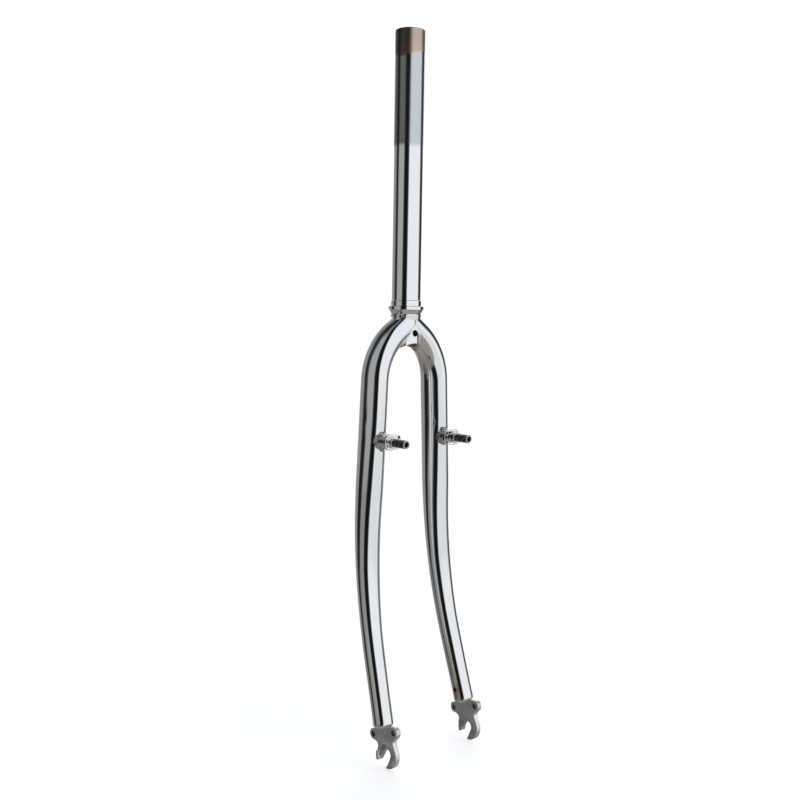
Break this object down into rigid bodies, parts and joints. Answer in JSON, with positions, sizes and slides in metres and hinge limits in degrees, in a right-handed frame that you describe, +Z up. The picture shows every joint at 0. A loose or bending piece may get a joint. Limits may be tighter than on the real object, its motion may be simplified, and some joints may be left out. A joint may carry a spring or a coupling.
{
  "type": "bicycle fork",
  "caption": "Rigid unicrown bicycle fork: long plain steerer, two curved tapered blades, brake studs on the front of the blades and slotted dropouts with eyelets.",
  "frame": {"origin": "steerer axis at the shoulder that carries the headset crown race", "axes": "+Z up the steerer, -Y to the front of the bicycle, +X to the rider's left"},
  "size_m": [0.1236, 0.0774, 0.6887],
  "materials": {
    "chrome": "polished chrome plate",
    "weld": "chrome plate over a rippled weld",
    "dull_plating": "dull plating, thin over the cut plate",
    "bare_steel": "bare turned steel, dark and lightly rusted"
  },
  "bodies": {
    "root": {"steerer_tube": "chrome", "crown_flange_ring": "chrome", "crown_weld": "weld", "blade_right": "chrome", "blade_left": "chrome", "boss_weld_right": "weld", "boss_weld_left": "weld", "brake_boss_right": "chrome", "brake_boss_left": "chrome", "spring_plate_right": "chrome", "spring_plate_left": "chrome", "brake_stud_right": "bare_steel", "brake_stud_left": "bare_steel", "dropout_right": "dull_plating", "dropout_left": "dull_plating"}
  },
  "joints": []
}
